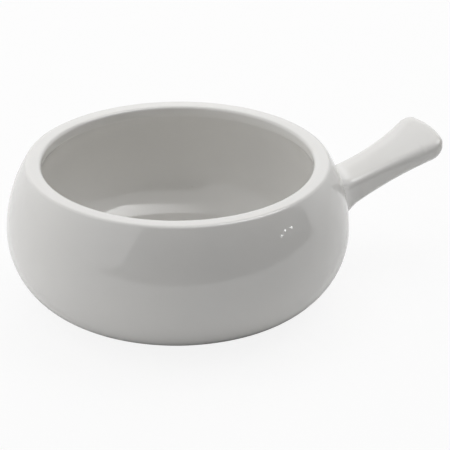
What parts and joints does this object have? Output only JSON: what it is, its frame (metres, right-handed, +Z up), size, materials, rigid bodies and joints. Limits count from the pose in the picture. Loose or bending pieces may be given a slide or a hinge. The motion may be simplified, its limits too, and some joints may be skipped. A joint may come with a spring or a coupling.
{
  "type": "french onion soup crock",
  "caption": "White glazed stoneware soup crock: a low bellied bowl with a flat rim, a collared mouth and a flared stick handle that rises from its belly.",
  "frame": {"origin": "centre of the foot ring's standing face, on the axis of the bowl", "axes": "+Z up along the axis of the bowl, +X from the bowl out along the handle"},
  "size_m": [0.18, 0.134, 0.0572],
  "materials": {
    "stoneware": "bare fired stoneware, slightly sandy",
    "slip": "fired joining slip, sponged smooth",
    "white_glaze": "glossy opaque white glaze"
  },
  "bodies": {
    "root": {"bowl_body": "stoneware", "handle": "stoneware", "luting_slip": "slip", "glaze_coat": "white_glaze", "base_glaze": "white_glaze"}
  },
  "joints": []
}
